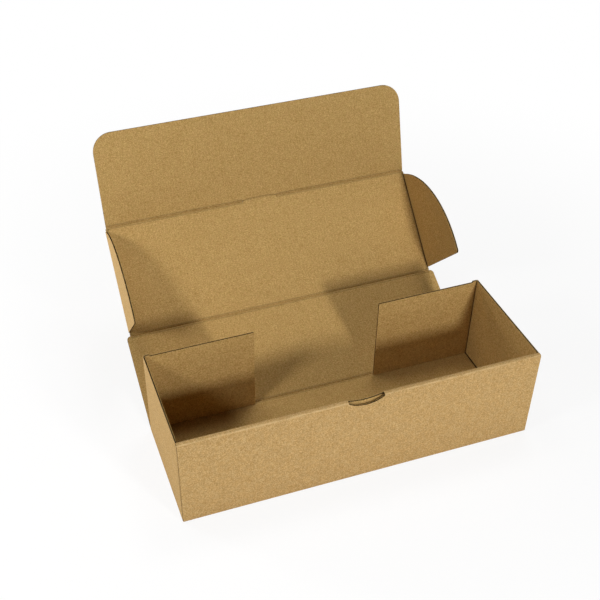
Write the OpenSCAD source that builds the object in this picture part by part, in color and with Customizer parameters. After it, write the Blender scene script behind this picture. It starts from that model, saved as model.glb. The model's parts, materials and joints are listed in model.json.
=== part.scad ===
// Corrugated mailer box, die-cut from one sheet and folded, standing open.
// The front wall is double: it rolls over the two front dust flaps and locks in the base.
// Millimetres. The origin is the centre of the base's underside,
// X runs along the front wall, Y to the rear and Z up.

/* [Box] */
// Outside length of the base, along the front wall
box_len = 310; // [240:1:450]
// Outside depth of the base, from front to rear
box_depth = 111; // [106:1:180]
// Outside height of the front wall
wall_h = 89; // [80:1:130]
// How far the end walls stay below the front wall
end_drop = 0.8; // [0.4:0.1:3]
// How far the rear dust flaps stay below the end walls
dust_drop = 1.5; // [0.5:0.1:4]
// Length of a rear dust flap, from the outside of its end wall
dust_len = 97; // [40:1:99]
// Root of a rear dust flap that is as high as its end wall, from the outside of that wall
dust_root = 5.5; // [4:0.5:12]
// Length of a front dust flap, from the outside of its end wall
front_flap_len = 97; // [40:1:105]

/* [Board] */
// Thickness of the single-wall board
board_t = 1.6; // [1.4:0.05:1.9]
// Thickness of each flat liner
liner_t = 0.22; // [0.18:0.01:0.3]
// Thickness of the fluted medium between the liners
medium_t = 0.2; // [0.16:0.01:0.28]
// Distance from one flute to the next
flute_pitch = 3.2; // [2.8:0.1:4.2]
// Board crushed flat beside a fold
crush_w = 3; // [2:0.5:6]
// Outside radius of a fixed fold
fold_r = 1.2; // [0.6:0.1:1.4]
// Radius of the score line inside a fixed fold
score_r = 0.35; // [0.2:0.05:0.5]

/* [Clearances] */
// Gap at a hinge fold
fold_gap = 0.3; // [0.2:0.05:0.5]
// Raw side edges set back from the outside of the end walls
raw_inset = 0.4; // [0.2:0.1:1]
// Gap between the closed rear wall and the rear dust flaps
dust_gap = 0.5; // [0.3:0.1:1.5]
// Gap between the front wall's top and the closed lid
lid_gap = 0.4; // [0.3:0.1:2]
// Gap between the closed tuck flap and the front wall
tuck_gap = 0.8; // [0.4:0.1:3]
// Gap between the closed tuck flap's edge and the base
tuck_floor_gap = 0.8; // [0.4:0.1:4]
// Gap between a closed lid ear and its end wall
ear_gap = 1.6; // [0.8:0.1:3]

/* [Lid] */
// Lean of the rear wall from upright
rear_lean = 62.5; // [50:0.5:80]
// Lean of the lid from upright
lid_lean = 46; // [30:0.5:50]
// Lean of the tuck flap from upright
tuck_lean = 16.5; // [0:0.5:28]
// Fold of each lid ear, where 90 is square to the lid
ear_fold = 89; // [89:0.5:90]
// Depth of a lid ear, out from its fold
ear_depth = 71; // [50:1:76]
// Distance from the rear fold of the lid to an ear
ear_start = 3.8; // [3.6:0.1:8]
// Distance from an ear's tip to the front fold of the lid
ear_end_gap = 3.8; // [2:0.1:10]
// Straight stretch of an ear's outer edge
ear_shoulder = 6.2; // [4:0.1:20]
// Radius of an ear's rear corner
ear_corner_r = 3; // [1:0.5:4]
// Radius of the tuck flap's front corners
tuck_corner_r = 18; // [6:1:30]
// How far each side edge of the tuck flap stays inside the lid's fold
tuck_inset = 0.6; // [0.2:0.1:4]
// Width of the finger tab on the lid's front fold
tab_w = 33; // [20:1:50]
// Reach of the finger tab past the fold
tab_out = 2.4; // [1.5:0.1:3]

/* [Front wall] */
// Width of the thumb notch
notch_w = 31; // [20:1:50]
// Depth of the thumb notch in the outer layer
notch_depth = 6.4; // [4:0.1:10]
// Depth of the thumb notch in the inner layer
inner_notch_depth = 3.7; // [2.6:0.1:4]
// Length of the open flutes below the thumb notch
notch_flute_len = 8; // [4:1:20]
// Distance from the middle of the box to each locking tab
lock_x = 78; // [50:1:88]
// Width of a locking tab
lock_w = 36; // [20:1:44]
// Clearance around a locking tab in its slot
lock_gap = 0.35; // [0.2:0.05:0.6]

/* [Hidden] */
arc_fn = 96;
fold_fn = 24;
kraft = "#b8945c";
// Cuts run this far past the surface that they open
over = 1;

mid = board_t / 2;
half_l = box_len / 2;
half_d = box_depth / 2;
hinge_set = mid + fold_gap;

// Flute section: half the height between the liners, half a flute's base and its tip
core = mid - liner_t;
web = 0.75 * medium_t;
flute_half = flute_pitch / 2 - web;
flute_tip = core - web;

// Front wall layers from the outside in: outer, dust flap, inner
front_y = -half_d;
flap_y = front_y + board_t;
inner_y = front_y + 2 * board_t;
back_y = front_y + 3 * board_t;
raw_half = half_l - raw_inset;
inner_half = half_l - board_t - fold_gap;
end_h = wall_h - end_drop;

// Rear fold, walls and flaps
rear_y = half_d - mid;
rear_z = mid;
end_rear_y = half_d - board_t - dust_gap;
rear_len = wall_h + lid_gap;
lid_len = box_depth - 4 * board_t - tuck_gap;
tuck_len = rear_len + rear_z - board_t - tuck_floor_gap;
ear_x = half_l - board_t - ear_gap - mid;
tuck_half = ear_x - tuck_inset;
relief_r = raw_half - ear_x;

// Ear outline: an arc that leaves the straight edge at arc_y and meets the fold at ear_end
ear_end = lid_len - ear_end_gap;
arc_y = ear_start + ear_shoulder;
ear_r = (pow(ear_end - arc_y, 2) + pow(ear_depth, 2)) / (2 * ear_depth);

// Radius of an arc from its chord and its rise
function arc_r(chord, rise) = (pow(chord / 2, 2) + pow(rise, 2)) / (2 * rise);

// The finger tab's sides are square to the fold up to the flap's edge, where its arc starts
tab_r = arc_r(tab_w, tab_out - hinge_set);

// Places: a panel lies along local Y from its fold, with its inside face up
module at_rear_wall() {
    translate([0, rear_y, rear_z]) rotate([90 - rear_lean, 0, 0]) children();
}

module at_lid() {
    at_rear_wall() translate([0, rear_len, 0]) rotate([rear_lean - lid_lean, 0, 0]) children();
}

module at_tuck_flap() {
    at_lid() translate([0, lid_len, 0]) rotate([lid_lean - tuck_lean, 0, 0]) children();
}

module at_right_ear() {
    at_lid() translate([ear_x, 0, 0]) rotate([0, -ear_fold, 0]) children();
}

// Board: liners, flutes and the groove that a cut along the flutes leaves
module flute_void(half, side) {
    polygon([[-half, side * core], [half, side * core], [0, -side * flute_tip]]);
}

module flute_section(width) {
    flutes = max(2, round(width / flute_pitch));
    step = width / flutes;
    half = step / 2 - web;
    difference() {
        square([width, board_t], center = true);
        for (i = [0 : flutes - 1]) translate([(i + 0.5) * step - width / 2, 0]) flute_void(half, 1);
        for (i = [0 : flutes]) translate([i * step - width / 2, 0]) flute_void(half, -1);
    }
}

module fluted_board(width, length) {
    translate([0, length, 0]) rotate([90, 0, 0]) linear_extrude(length) flute_section(width);
}

module flat_board(length_y, half_x) {
    linear_extrude(board_t, center = true) translate([-half_x, 0]) square([2 * half_x, length_y]);
}

module edge_groove(length) {
    linear_extrude(length)
        polygon([[-core, flute_half], [flute_tip, 0], [flute_tip, -over], [-core, -over]]);
}

// Rounding that is cut away from an outside corner, with the corner at the origin
module corner_cut(r) {
    difference() {
        translate([-r, -r]) square(r + over);
        translate([-r, -r]) circle(r, $fn = arc_fn);
    }
}

module fold_nose(length) {
    rotate([0, 90, 0]) cylinder(h = length, r = mid, center = true, $fn = fold_fn);
}

// Tray: base, end walls and the front wall that locks around the front dust flaps
module base_and_end_walls() {
    depth = end_rear_y - flap_y;
    translate([0, flap_y, 0]) rotate([90, 0, 180]) linear_extrude(depth) difference() {
        translate([-half_l, 0]) square([box_len, end_h]);
        translate([-half_l + board_t, board_t]) square([box_len - 2 * board_t, end_h]);
        for (side = [0, 1]) mirror([side, 0]) translate([half_l, 0]) mirror([0, 1]) corner_cut(fold_r);
        for (side = [-1, 1])
            translate([side * (half_l - board_t), board_t]) circle(score_r, $fn = fold_fn);
    }
}

module base_rear_edge() {
    translate([-raw_half, end_rear_y - over, 0]) cube([2 * raw_half, rear_y - end_rear_y + over, board_t]);
    translate([0, rear_y, rear_z]) fold_nose(2 * raw_half);
}

module front_roll_over() {
    rotate([90, 0, 90]) linear_extrude(2 * raw_half, center = true) difference() {
        union() {
            translate([front_y, 0]) square([3 * board_t, board_t]);
            translate([front_y, 0]) square([board_t, wall_h]);
            translate([front_y, wall_h - board_t]) square([3 * board_t, board_t]);
        }
        translate([front_y, 0]) rotate(180) corner_cut(fold_r);
        translate([front_y, wall_h]) rotate(90) corner_cut(fold_r);
        translate([back_y, wall_h]) corner_cut(fold_r);
    }
    translate([-inner_half, inner_y, 0]) cube([2 * inner_half, board_t, wall_h - fold_r]);
}

module front_dust_flaps() {
    for (side = [0, 1]) mirror([side, 0, 0])
        translate([half_l - front_flap_len, flap_y, board_t - over / 2])
            cube([front_flap_len - board_t / 2, board_t, wall_h - 2 * board_t + over]);
}

module notch_layer(depth, y_from, y_to) {
    r = arc_r(notch_w, depth);
    translate([0, y_to, wall_h - depth + r]) rotate([90, 0, 0])
        cylinder(h = y_to - y_from, r = r, $fn = arc_fn);
}

// Flutes that end in the notch of one layer
module notch_flutes(depth, y_mid) {
    count = floor((notch_w / 2 - flute_half) / flute_pitch);
    foot = wall_h - depth - notch_flute_len;
    translate([0, y_mid, foot]) linear_extrude(depth + notch_flute_len + over) {
        for (i = [-count : count]) translate([i * flute_pitch, 0]) flute_void(flute_half, 1);
        for (i = [-count : count - 1]) translate([(i + 0.5) * flute_pitch, 0]) flute_void(flute_half, -1);
    }
}

module lock_slots() {
    for (side = [-1, 1])
        translate([side * lock_x - lock_w / 2 - lock_gap, inner_y - lock_gap, -over])
            cube([lock_w + 2 * lock_gap, board_t + 2 * lock_gap, board_t + over]);
}

module lock_tabs() {
    for (side = [-1, 1])
        translate([side * lock_x - lock_w / 2, inner_y, lock_gap])
            cube([lock_w, board_t, 2 * board_t]);
}

module end_wall_grooves() {
    for (side = [0, 1]) mirror([side, 0, 0])
        translate([half_l - mid, back_y, end_h]) rotate([-90, 0, 0]) edge_groove(end_rear_y - back_y + over);
}

module front_wall_grooves() {
    for (side = [0, 1]) mirror([side, 0, 0])
        translate([raw_half, front_y + mid, fold_r]) rotate(90) edge_groove(wall_h - 2 * fold_r);
}

module tray() {
    color(kraft) {
        difference() {
            union() {
                base_and_end_walls();
                base_rear_edge();
                front_roll_over();
                front_dust_flaps();
            }
            notch_layer(notch_depth, front_y - over, inner_y);
            notch_layer(inner_notch_depth, flap_y, back_y + over);
            notch_flutes(notch_depth, front_y + mid);
            notch_flutes(inner_notch_depth, inner_y + mid);
            lock_slots();
            end_wall_grooves();
            front_wall_grooves();
        }
        lock_tabs();
    }
}

// Rear dust flap: its root is as high as the end wall, and then its top edge steps down.
// Flutes run along it and end open at its free edge
module right_rear_dust_flap() {
    foot = board_t + fold_gap;
    height = end_h - dust_drop - foot;
    hinge_x = half_l - board_t - fold_gap;
    root_x = half_l - dust_root;
    free_x = half_l - dust_len;
    color(kraft) translate([0, end_rear_y - mid, foot]) {
        translate([root_x, -mid, 0]) cube([hinge_x - root_x, board_t, end_h - foot]);
        translate([free_x, 0, height / 2]) rotate([90, 0, 90]) linear_extrude(root_x - free_x)
            rotate(90) flute_section(height);
    }
}

module left_rear_dust_flap() {
    mirror([1, 0, 0]) right_rear_dust_flap();
}

// Rear wall: its top corners are cut back to the width of the lid
module rear_wall() {
    color(kraft) at_rear_wall() {
        difference() {
            linear_extrude(board_t, center = true) difference() {
                translate([-raw_half, hinge_set]) square([2 * raw_half, rear_len - hinge_set]);
                for (side = [0, 1]) mirror([side, 0]) translate([raw_half, rear_len]) corner_cut(relief_r);
            }
            for (side = [0, 1]) mirror([side, 0, 0])
                translate([raw_half, 0, 0]) rotate([-90, 90, 0]) edge_groove(rear_len + over);
        }
        translate([0, rear_len, 0]) fold_nose(2 * ear_x);
    }
}

// Lid: folds on all four sides, with a finger tab past the front fold
module lid() {
    color(kraft) at_lid() {
        translate([0, hinge_set, 0]) flat_board(lid_len - hinge_set, ear_x);
        translate([0, lid_len, 0]) fold_nose(2 * tuck_half);
        for (side = [-1, 1]) translate([side * ear_x, (ear_start + ear_end) / 2, 0])
            rotate(90) fold_nose(ear_end - ear_start);
        linear_extrude(board_t, center = true) intersection() {
            translate([0, lid_len + tab_out - tab_r]) circle(tab_r, $fn = arc_fn);
            translate([-tab_w / 2, lid_len - over]) square([tab_w, tab_out + 2 * over]);
        }
    }
}

// Tuck flap: flutes run from its fold to the rounded free edge
module tuck_flap() {
    fluted_from = hinge_set + crush_w;
    color(kraft) at_tuck_flap() intersection() {
        union() {
            translate([0, hinge_set, 0]) flat_board(crush_w, tuck_half);
            translate([0, fluted_from, 0]) fluted_board(2 * tuck_half, tuck_len - fluted_from);
        }
        linear_extrude(board_t + over, center = true) difference() {
            translate([-tuck_half, 0]) square([2 * tuck_half, tuck_len]);
            for (side = [0, 1]) mirror([side, 0]) translate([tuck_half, tuck_len]) corner_cut(tuck_corner_r);
            translate([0, tab_out - tab_r]) circle(tab_r + fold_gap, $fn = arc_fn);
        }
    }
}

// Lid ear: flutes run beside its fold and end open in the curved edge
module ear_outline() {
    difference() {
        union() {
            translate([0, ear_start]) square([ear_depth, ear_shoulder]);
            intersection() {
                translate([0, arc_y]) square([ear_depth, ear_end - arc_y]);
                translate([ear_depth - ear_r, arc_y]) circle(ear_r, $fn = 2 * arc_fn);
            }
        }
        translate([ear_depth, ear_start]) mirror([0, 1]) corner_cut(ear_corner_r);
    }
}

module right_ear() {
    fluted_from = hinge_set + crush_w;
    width = ear_depth - fluted_from;
    length = ear_end - ear_start;
    color(kraft) at_right_ear() intersection() {
        union() {
            translate([hinge_set + crush_w / 2, ear_start, 0]) flat_board(length, crush_w / 2);
            translate([fluted_from + width / 2, ear_start, 0]) fluted_board(width, length);
        }
        linear_extrude(board_t + over, center = true) ear_outline();
    }
}

module left_ear() {
    mirror([1, 0, 0]) right_ear();
}

tray();
left_rear_dust_flap();
right_rear_dust_flap();
rear_wall();
lid();
tuck_flap();
left_ear();
right_ear();
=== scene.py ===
# %% [markdown]
# # A corrugated mailer box
#
# The real box is one sheet of E-flute board: two flat liners with a wavy paper, the medium, glued between
# them. A die cuts its outline and presses the fold lines, and the sheet is folded by hand, with no glue or
# tape. So every piece here is made the way the board is: a flat outline first, with no thickness, and then
# the liners and the medium are raised from it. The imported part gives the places, the sizes and the folds.

# %% The frame
import json
from collections import namedtuple
from math import cos, pi, radians, sin

import bmesh
import bpy
import numpy as np
from mathutils import Matrix, Vector


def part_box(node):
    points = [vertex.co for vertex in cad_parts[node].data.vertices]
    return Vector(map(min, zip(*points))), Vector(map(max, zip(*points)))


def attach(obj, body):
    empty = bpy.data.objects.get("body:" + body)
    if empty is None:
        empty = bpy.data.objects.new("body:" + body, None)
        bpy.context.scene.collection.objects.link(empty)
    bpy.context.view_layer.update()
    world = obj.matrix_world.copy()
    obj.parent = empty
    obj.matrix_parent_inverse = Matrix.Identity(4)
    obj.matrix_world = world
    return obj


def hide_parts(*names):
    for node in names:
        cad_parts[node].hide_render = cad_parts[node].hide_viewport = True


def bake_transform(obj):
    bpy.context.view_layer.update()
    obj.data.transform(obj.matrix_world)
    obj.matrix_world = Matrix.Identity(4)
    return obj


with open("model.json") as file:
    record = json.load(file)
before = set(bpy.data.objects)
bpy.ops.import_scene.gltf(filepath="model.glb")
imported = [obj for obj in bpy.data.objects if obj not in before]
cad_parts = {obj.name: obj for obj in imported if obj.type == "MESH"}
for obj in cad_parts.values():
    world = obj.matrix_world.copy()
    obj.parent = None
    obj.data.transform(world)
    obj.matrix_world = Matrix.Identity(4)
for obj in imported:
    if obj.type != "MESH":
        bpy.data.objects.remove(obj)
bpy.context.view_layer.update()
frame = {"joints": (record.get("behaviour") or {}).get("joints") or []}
folds = {joint["name"]: joint for joint in frame["joints"]}

# %% [markdown]
# ## Sizes
#
# The board's own section is the same all over, so it is given once. The main places and angles are read from
# the frame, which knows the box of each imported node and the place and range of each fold. Typing them again
# would be quicker, but then the looks would stay behind when the part changes. What the frame doesn't know,
# such as the radius of a corner, has a name beside its piece. MM turns millimetres into Blender's metres.

# %% The board's section
MM = 0.001
BOARD = 1.6 * MM          # thickness of the board
LINER = 0.22 * MM         # thickness of a flat liner
MEDIUM = 0.2 * MM         # thickness of the wavy medium
PITCH = 3.2 * MM          # from one flute to the next
HALF = BOARD / 2
PRESSED_IN = -0.1 * MM    # height of the inside face where a fold is pressed, from the board's middle
PRESSED_OUT = 0.74 * MM   # depth of the outside face there, which stays nearly flat
RAMP = 2.2 * MM           # from a pressed fold to board of full thickness
FOLD_R = 0.7 * MM         # radius of a fold, at the middle of the board
HINGE = 1.3 * MM          # from the axis of a moving fold to the panel's own board
FLUTE_STEPS = 8           # points along one wave of the medium
print(f"board {BOARD / MM} mm, flutes {PITCH / MM} mm apart")

# %% The box's own sizes
tray_low, tray_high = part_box("tray")
half_len = tray_high.x
front_y = tray_low.y
wall_top = tray_high.z
end_drop = 0.8 * MM       # the end walls stay this far below the front wall
raw_inset = 0.4 * MM      # the front wall's side edges stay inside the end walls
end_top = wall_top - end_drop
rear_fold = Vector(folds["rear_wall_fold"]["pos_m"])
lid_fold = Vector(folds["lid_fold"]["pos_m"])
tuck_fold = Vector(folds["tuck_fold"]["pos_m"])
rear_len = (lid_fold - rear_fold).length
lid_len = (tuck_fold - lid_fold).length
rear_angle = -folds["rear_wall_fold"]["range_deg"][0]
lid_angle = rear_angle - folds["lid_fold"]["range_deg"][0]
tuck_angle = lid_angle - folds["tuck_fold"]["range_deg"][0]
ear_x = folds["right_ear_fold"]["pos_m"][0]
ear_angle = -folds["right_ear_fold"]["range_deg"][0]
raw_x = half_len - raw_inset
print(f"rear wall {rear_len / MM:.1f} mm at {rear_angle:.1f} degrees from flat")
print(f"lid {lid_len / MM:.1f} mm at {lid_angle:.1f}, tuck flap at {tuck_angle:.1f}, ears at {ear_angle:.1f}")

# %% [markdown]
# ## Panels
#
# Each panel has a place and three directions: across its flutes, along them, and out of its inside face.
# A panel's points are written as (across, along), and the panel turns them into the frame's own metres.
# Turning a finished object would do the same, but its place has to be in its mesh for the export.

# %% A panel and its directions
Panel = namedtuple("Panel", "origin across along inside")


def turned(angle):
    """Direction along a panel that rises from flat by an angle, and its inside face's direction."""
    a = radians(angle)
    return Vector((0, cos(a), sin(a))), Vector((0, -sin(a), cos(a)))


X = Vector((1, 0, 0))
Y = Vector((0, 1, 0))
Z = Vector((0, 0, 1))
rear_panel = Panel(rear_fold, X, *turned(rear_angle))
lid_panel = Panel(lid_fold, X, *turned(lid_angle))
tuck_panel = Panel(tuck_fold, X, *turned(tuck_angle))


def ear_panel(side):
    """Panel of the left (-1) or right (1) ear. Its flutes run beside its fold."""
    a = radians(ear_angle)
    out = side * cos(a) * X + sin(a) * lid_panel.inside
    inside = -side * sin(a) * X + cos(a) * lid_panel.inside
    return Panel(lid_fold + side * ear_x * X, out, lid_panel.along, inside)


def dust_panel(side):
    """Panel of a rear dust flap. Its flutes lie level, so across is up and along is towards the middle."""
    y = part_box("right_rear_dust_flap")[0].y + HALF
    return Panel(Vector((side * half_len, y, 0)), Z, -side * X, -Y)


print("panels: rear wall, lid, tuck flap, two ears, two rear dust flaps")

# %% [markdown]
# ## Blanks
#
# A blank is the cut outline of a panel as one layer of faces. It is a grid: stations run across the flutes
# and rows along them, so an outline that curves only has to say where each station starts and ends. Three
# values travel with every point: how far across the flutes it lies, which later makes the wave, how crushed
# the board is there, from 0 to 1, and where its inside face looks. Two more are for the look alone: how far
# the folds have shut, which deepens the painted shade in their grooves, and where the paper is pale from
# wear, with a painted highlight. A box with a bevel would be quicker, but its cut edges could show no flutes.

# %% Stations and rows
def stations(low, high, *stops):
    """Places from low to high that always hold the stops."""
    return np.unique(np.round([low, high, *np.concatenate([np.atleast_1d(s) for s in stops] or [[]])], 9))


def flute_stations(coarse):
    """Coarse stations with the points of every wave between them."""
    step = PITCH / FLUTE_STEPS
    fine = np.arange(np.ceil(coarse[0] / step), np.floor(coarse[-1] / step) + 1) * step
    near = np.abs(fine[:, None] - coarse[None, :]).min(1) < 0.2 * step
    return np.unique(np.concatenate([coarse, fine[~near]]))


def rows_at(across, *lines):
    """Rows of points, one for each line: one distance along the flutes, or one for every station."""
    return np.stack([np.broadcast_to(line, across.shape) for line in lines], 1)


RAMP_STOPS = np.array([0, 0.12, 0.27, 1]) * RAMP   # groove, its wall, its shoulder and full board
BOTTOM = 0.95             # how crushed the board is at the foot of the groove's wall
SHOULDER = 0.12           # how crushed it still is beside the groove


def nearest(distances):
    """Distance to the nearest of some folds."""
    return np.minimum.reduce(np.broadcast_arrays(*[np.abs(d) for d in distances]))


def grooved(*distances):
    """How crushed the board is at some distances from fixed folds: a narrow groove, then a soft ramp."""
    return np.interp(nearest(distances), RAMP_STOPS, [1, BOTTOM, SHOULDER, 0])


def eased(*distances):
    """How crushed it is beside moving folds, whose groove is in the fold's own strip."""
    return np.interp(nearest(distances), [0, RAMP], [SHOULDER, 0])


# %% A blank's mesh
def blank_mesh(name, across, along, crush, points, inside, keep=None, shut=1.0, wear_and_highlight=0.0):
    """A grid of faces with the values that the board's section needs. Arrays are stations by rows.

    Shut says how far the folds of this blank have closed their grooves, which deepens the painted shade in
    them, and wear_and_highlight where its paper is pale from wear, with a painted highlight. Keep, if given,
    says which faces stay.
    """
    n, m = along.shape
    mesh = bpy.data.meshes.new(name)
    index = np.arange(n * m).reshape(n, m)
    quads = np.stack([index[:-1, :-1], index[1:, :-1], index[1:, 1:], index[:-1, 1:]], -1)
    sides = points[quads[0, 0, [1, 3]] // m, quads[0, 0, [1, 3]] % m] - points[0, 0]
    if np.dot(np.cross(*sides), inside[0, 0]) < 0:
        quads = quads[..., ::-1]
    if keep is not None:
        quads = quads[keep]
    mesh.from_pydata(points.reshape(-1, 3).tolist(), [], quads.reshape(-1, 4).tolist())
    for attribute, kind, values in (
        ("across", "FLOAT", np.broadcast_to(across[:, None], (n, m))),
        ("crush", "FLOAT", np.broadcast_to(crush, (n, m))),
        ("shut", "FLOAT", np.broadcast_to(shut, (n, m))),
        ("wear_and_highlight", "FLOAT", np.broadcast_to(wear_and_highlight, (n, m))),
        ("inside", "FLOAT_VECTOR", inside),
    ):
        layer = mesh.attributes.new(attribute, kind, "POINT")
        socket = "vector" if kind == "FLOAT_VECTOR" else "value"
        layer.data.foreach_set(socket, np.ascontiguousarray(values, np.float32).ravel())
    corner = np.zeros(len(mesh.loops), np.int32)
    mesh.loops.foreach_get("vertex_index", corner)
    flat = np.stack([np.broadcast_to(across[:, None], (n, m)), along], -1).reshape(-1, 2)
    board_map = mesh.uv_layers.new(name="board", do_init=False)
    board_map.uv.foreach_set("vector", flat[corner].astype(np.float32).ravel())
    edit = bmesh.new()
    edit.from_mesh(mesh)
    loose = [v for v in edit.verts if not v.link_faces]
    bmesh.ops.delete(edit, geom=loose, context="VERTS")
    edit.to_mesh(mesh)
    edit.free()
    return mesh


def flat_blank(name, panel, across, rows, crush, keep=None):
    """Blank of a flat panel."""
    origin, a, b, inside = (np.array(v) for v in panel)
    points = origin + across[:, None, None] * a + rows[:, :, None] * b
    inside = np.broadcast_to(inside, points.shape)
    return blank_mesh(name, across, rows, crush, points, inside, keep)


print("blank tools ready")

# %% [markdown]
# ## Paper
#
# Kraft paper is a mat of fibres. Close up it shows three things: a soft mottling where the pulp lies thicker
# or thinner, short fibres that lie every way, and a few dark or pale specks of bark and recycled paper. The
# flutes show through the liner as faint bands. A picture of paper would repeat, so noise makes all of it.
# Fibres and bands read the board map, which is the flat sheet in metres, so they stay on the paper when it is
# folded, and the clouds and specks read Object coordinates. The board carries four values for its colour:
# lining is 0 on the outer liner, 1 on the inner one and 0.5 on the medium, fold is below 0 in a groove, which
# gets painted shade, shut says how far the fold has closed it, which deepens that painted shade, and
# wear_and_highlight where the edge of the front wall is pale from wear, with a painted highlight. The faces
# that look into the flutes, and the medium's cut edges, are darkened as painted shade of the hollows.

# %% Node helpers
def add(tree, kind, inputs=None, **settings):
    """A node with its settings. Each input is linked if a socket is given, and set if a value is."""
    node = tree.nodes.new(kind)
    for name, value in settings.items():
        setattr(node, name, value)
    for name, value in (inputs or {}).items():
        if isinstance(value, bpy.types.NodeSocket):
            tree.links.new(value, node.inputs[name])
        else:
            node.inputs[name].default_value = value
    return node


def calc(tree, operation, *values):
    """The result of one sum, as a socket."""
    return add(tree, "ShaderNodeMath", dict(enumerate(values)), operation=operation).outputs[0]


def total(tree, first, *more):
    """Several values added up."""
    for value in more:
        first = calc(tree, "ADD", first, value)
    return first


def mix_colour(tree, share, first, second, blend="MIX"):
    """One colour laid over another by a share from 0 to 1."""
    node = add(tree, "ShaderNodeMix", data_type="RGBA", blend_type=blend, clamp_result=False)
    colours = [socket for socket in node.inputs if socket.type == "RGBA"]
    for socket, value in ((node.inputs[0], share), (colours[0], first), (colours[1], second)):
        if isinstance(value, bpy.types.NodeSocket):
            tree.links.new(value, socket)
        else:
            socket.default_value = value
    return next(socket for socket in node.outputs if socket.type == "RGBA")


# %% Patterns of the paper
def noise(tree, place, size, detail=2.0, rough=0.5):
    """Soft noise from 0 to 1 whose grains have a size in metres."""
    inputs = {"Vector": place, "Scale": 1 / size, "Detail": detail, "Roughness": rough}
    return add(tree, "ShaderNodeTexNoise", inputs).outputs["Fac"]


def stepped(tree, value, low, high, to_low=0.0, to_high=1.0):
    """A value brought from one range to another."""
    inputs = {"Value": value, "From Min": low, "From Max": high, "To Min": to_low, "To Max": to_high}
    return add(tree, "ShaderNodeMapRange", inputs, interpolation_type="SMOOTHSTEP").outputs["Result"]


BEND = 0.5                # a fibre bends once in about two lengths
FIBRE_START = 0.74        # noise above this, less the share, starts a fibre
FIBRE_FULL = 0.80         # and above this it is whole


def fibres(tree, place, angle, length, width, share):
    """Thin fibres that lie near one direction, as a mask. Share is about the part of the paper they cover."""
    bent = add(tree, "ShaderNodeTexNoise", {"Vector": place, "Scale": BEND / length, "Detail": 1.0})
    shift = add(tree, "ShaderNodeVectorMath", {0: bent.outputs["Color"], "Scale": length}, operation="SCALE")
    moved = add(tree, "ShaderNodeVectorMath", {0: place, 1: shift.outputs[0]}, operation="ADD")
    turned_by = {"Vector": moved.outputs[0], "Rotation": (0, 0, radians(angle)),
                 "Scale": (1 / length, 1 / width, 1)}
    laid = add(tree, "ShaderNodeMapping", turned_by, vector_type="POINT").outputs[0]
    lines = add(tree, "ShaderNodeTexNoise", {"Vector": laid, "Scale": 1.0, "Detail": 1.0, "Roughness": 0.4})
    return stepped(tree, lines.outputs["Fac"], FIBRE_START - share, FIBRE_FULL - share)


def two_ways(tree, place, first, second):
    """Fibres in two directions."""
    return calc(tree, "MAXIMUM", fibres(tree, place, *first), fibres(tree, place, *second))


SPECK_RIM = 0.25          # soft part of a speck's edge


def specks(tree, place, spacing, size, share):
    """Round specks, one here and there, as a mask."""
    cells = add(tree, "ShaderNodeTexVoronoi", {"Vector": place, "Scale": 1 / spacing}, feature="F1")
    colour = add(tree, "ShaderNodeSeparateColor", {"Color": cells.outputs["Color"]})
    chosen = calc(tree, "LESS_THAN", colour.outputs["Red"], share)
    edge = calc(tree, "MULTIPLY", colour.outputs["Green"], size / spacing)
    inward = calc(tree, "SUBTRACT", cells.outputs["Distance"], edge)
    return calc(tree, "MULTIPLY", chosen, stepped(tree, inward, 0.0, -SPECK_RIM * size / spacing))


# %% The kraft paper
KRAFT_OUTSIDE = (0.468, 0.308, 0.129, 1)   # the outer liner, in linear light
KRAFT_INSIDE = (0.482, 0.312, 0.108, 1)    # the inner liner, which runs a little deeper
KRAFT_WARM = (0.495, 0.304, 0.112, 1)      # clouds of warmer pulp
KRAFT_DARK = (0.230, 0.125, 0.035, 1)      # dark fibres
KRAFT_BARK = (0.090, 0.045, 0.015, 1)      # specks of bark
# KRAFT_PALE also paints the pale line on the roll's edge: wear with a painted highlight.
KRAFT_PALE = (0.660, 0.470, 0.240, 1)      # pale fibres and worn folds
PULP_DEPTH = (1.0, 1.2, 1.7)               # thick pulp darkens green and blue more than red

CLOUD_SIZE = 14 * MM      # widest clouds in the pulp
MOTTLE_SIZE = 2.8 * MM    # its thick and thin places
GRAIN_SIZE = 0.9 * MM     # its finest grain
WARM_SIZE = 3.4 * MM      # clouds of warmer pulp
MOTTLE = 0.035            # how far thick and thin pulp change the tone
GRAIN = 0.29              # how far the finest grain does
CLOUD = 0.012             # how far the widest clouds do
BAND = 0.012              # and how far the flutes do that show through
WARM_SHARE = 0.5          # how much of the warm colour the warmest clouds take
# The next two darken the grooves of folds: painted shade.
GROOVE_SHADE = 0.08        # how much darker the groove of an open fold is
SHUT_SHADE = 0.82          # how much more a fold darkens that has shut
IN_GROOVE = (-0.02, -0.22)                 # from full board to a groove, as values of fold
RELIEF = (0.030, 0.045, 0.012)             # height of the bands, the grain and the fibres in millimetres
ROUGHNESS = (0.78, 0.92)                   # of smooth and rough places
SHINE = 0.05                               # paper hardly mirrors its surroundings
# Fibres in two directions: the angle, length, width and share of each.
DARK_FIBRES = ((17, 2.6 * MM, 0.16 * MM, 0.10), (101, 2.2 * MM, 0.14 * MM, 0.10))
PALE_FIBRES = ((62, 2.8 * MM, 0.15 * MM, 0.12), (149, 2.4 * MM, 0.13 * MM, 0.12))
BARK = (8.0 * MM, 0.60 * MM, 0.30)         # spacing, size and share of the specks of bark
BLEACHED = (5.1 * MM, 0.36 * MM, 0.16)     # and of those of white paper


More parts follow.
